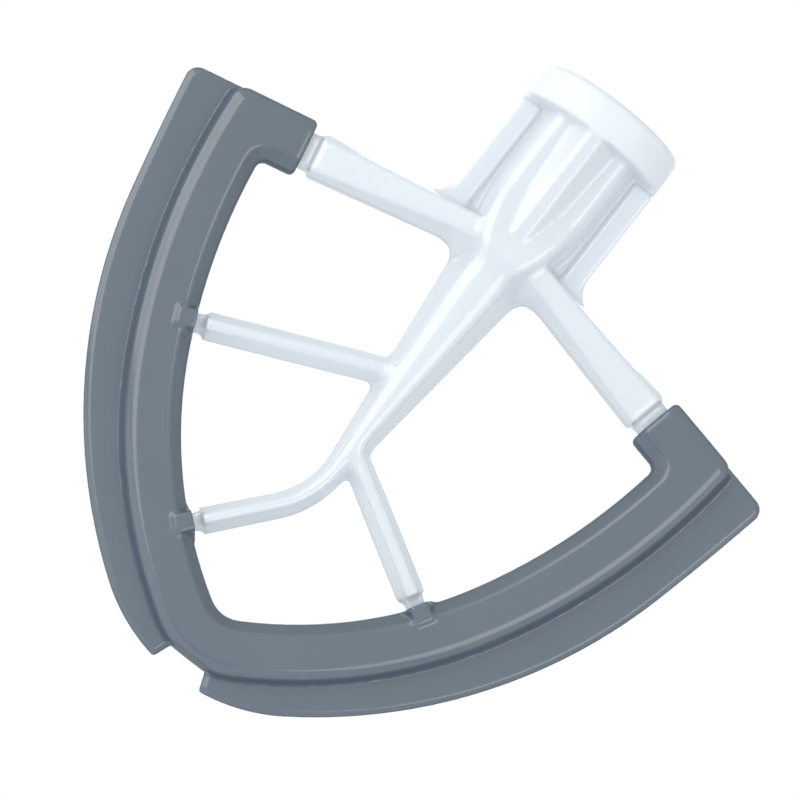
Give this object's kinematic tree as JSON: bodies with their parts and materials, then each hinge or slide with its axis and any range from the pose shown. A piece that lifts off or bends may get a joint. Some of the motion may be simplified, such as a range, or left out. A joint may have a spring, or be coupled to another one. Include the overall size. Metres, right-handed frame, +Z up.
{
  "type": "stand mixer flat beater",
  "caption": "Leaf-shaped flat beater with a bayonet drive collar, arms and spokes, and a flexible scraping edge moulded round its rim.",
  "frame": {"origin": "mouth of the drive socket, in the middle of the collar's top face", "axes": "+Z up the drive shaft and out of the socket, X across the beater's width with the upper spoke on the -X side, -Y towards the viewer of the picture"},
  "size_m": [0.1344, 0.0306, 0.1335],
  "materials": {
    "coated_casting": "gloss white baked coating over cast aluminium",
    "edge_silicone": "satin slate grey silicone"
  },
  "bodies": {
    "root": {"beater_casting": "coated_casting", "flex_edge": "edge_silicone"}
  },
  "joints": []
}
